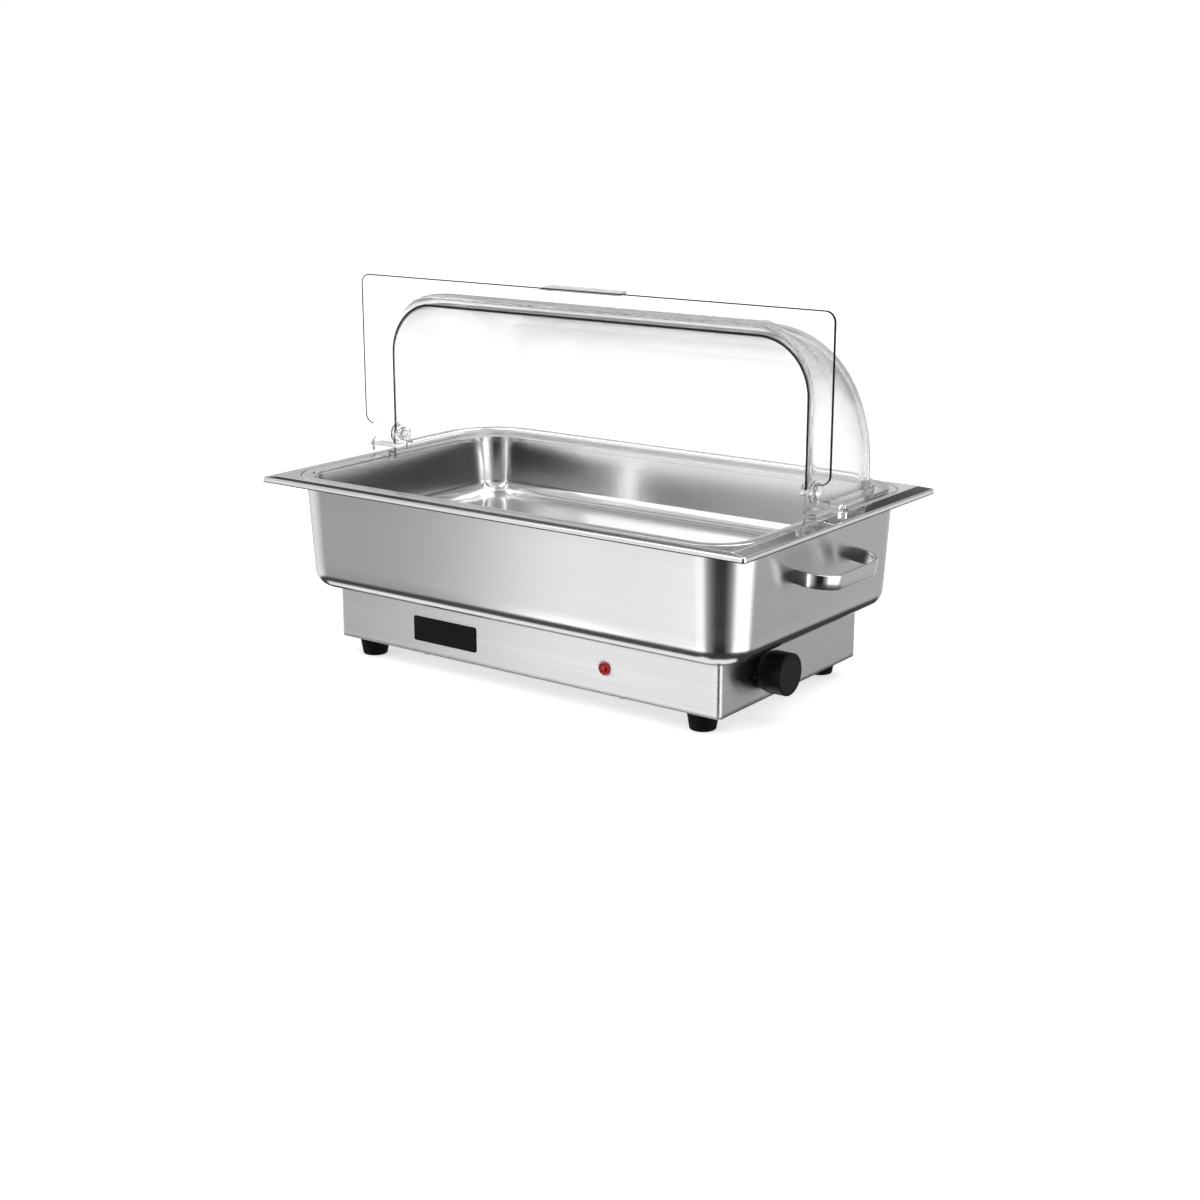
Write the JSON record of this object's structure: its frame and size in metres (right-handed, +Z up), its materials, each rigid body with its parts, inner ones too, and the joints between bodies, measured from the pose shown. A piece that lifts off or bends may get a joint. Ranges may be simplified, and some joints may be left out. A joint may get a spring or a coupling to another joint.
{
  "type": "electric chafing dish",
  "caption": "Electric chafing dish: a drawn water pan with strap handles on a heated base, a lift-out food pan and a clear roll-top cover that turns back over itself.",
  "frame": {"origin": "on the table, under the middle of the rim", "axes": "+X along the dish to the knob end, -Y to the front where the cover opens, +Z up"},
  "size_m": [0.5942, 0.347, 0.3744],
  "materials": {
    "brushed_stainless": "brushed along its length",
    "satin_stainless": "satin, polished rim",
    "polished_stainless": "polished",
    "zinc_steel": "zinc plated",
    "aluminium_plate": "mill",
    "element_sheath": "oxidised",
    "ceramic": "matte",
    "brass": "plain",
    "black_plastic": "satin",
    "black_plate": "matte, bare",
    "red_plastic": "gloss",
    "red_lens": "clear gloss",
    "wire_jacket": "matte",
    "clear_plastic": "clear gloss",
    "rubber": "matte"
  },
  "bodies": {
    "base": {"base_housing": "brushed_stainless", "bottom_cover": "zinc_steel", "bottom_cover_screws": "zinc_steel", "foot_front_left": "rubber", "foot_front_right": "rubber", "foot_rear_left": "rubber", "foot_rear_right": "rubber", "foot_screws": "zinc_steel", "foot_nuts": "zinc_steel", "water_pan": "satin_stainless", "housing_nuts": "zinc_steel", "left_handle": "polished_stainless", "right_handle": "polished_stainless", "heat_spreader": "aluminium_plate", "heating_element": "element_sheath", "front_clamp_bar": "zinc_steel", "rear_clamp_bar": "zinc_steel", "clamp_nuts": "zinc_steel", "heat_shield": "aluminium_plate", "shield_nuts": "zinc_steel", "thermostat_body": "ceramic", "thermostat_screws": "zinc_steel", "sensor_tube": "brass", "sensor_clips": "zinc_steel", "thermal_cutout": "black_plastic", "cutout_nuts": "zinc_steel", "terminal_block": "ceramic", "terminal_screws": "brass", "lead_wires": "wire_jacket", "lamp_bezel": "red_plastic", "lamp_lens": "red_lens", "lamp_nut": "zinc_steel", "front_plate": "black_plate", "cord_gland": "black_plastic", "gland_nut": "black_plastic"},
    "food_pan": {"food_pan": "polished_stainless"},
    "cover_frame": {"rear_cover": "clear_plastic", "left_pivot_pin": "clear_plastic", "right_pivot_pin": "clear_plastic", "left_pivot_cap": "clear_plastic", "right_pivot_cap": "clear_plastic"},
    "front_cover": {"front_cover": "clear_plastic"},
    "knob": {"control_knob": "black_plastic", "thermostat_shaft": "zinc_steel"}
  },
  "joints": [
    {"name": "food_pan_lift", "type": "slide", "parent": "base", "child": "food_pan", "axis": [0, 0, 1], "range_m": [0, 0.12]},
    {"name": "cover_lift", "type": "slide", "parent": "food_pan", "child": "cover_frame", "axis": [0, 0, 1], "range_m": [0, 0.1]},
    {"name": "front_cover_hinge", "type": "hinge", "parent": "cover_frame", "child": "front_cover", "pos_m": [0, -0.0045, 0.207], "axis": [1, 0, 0], "range_deg": [0, 90]},
    {"name": "knob_turn", "type": "hinge", "parent": "base", "child": "knob", "pos_m": [0.232, -0.048, 0.0465], "axis": [-1, 0, 0], "range_deg": [0, 270]}
  ]
}
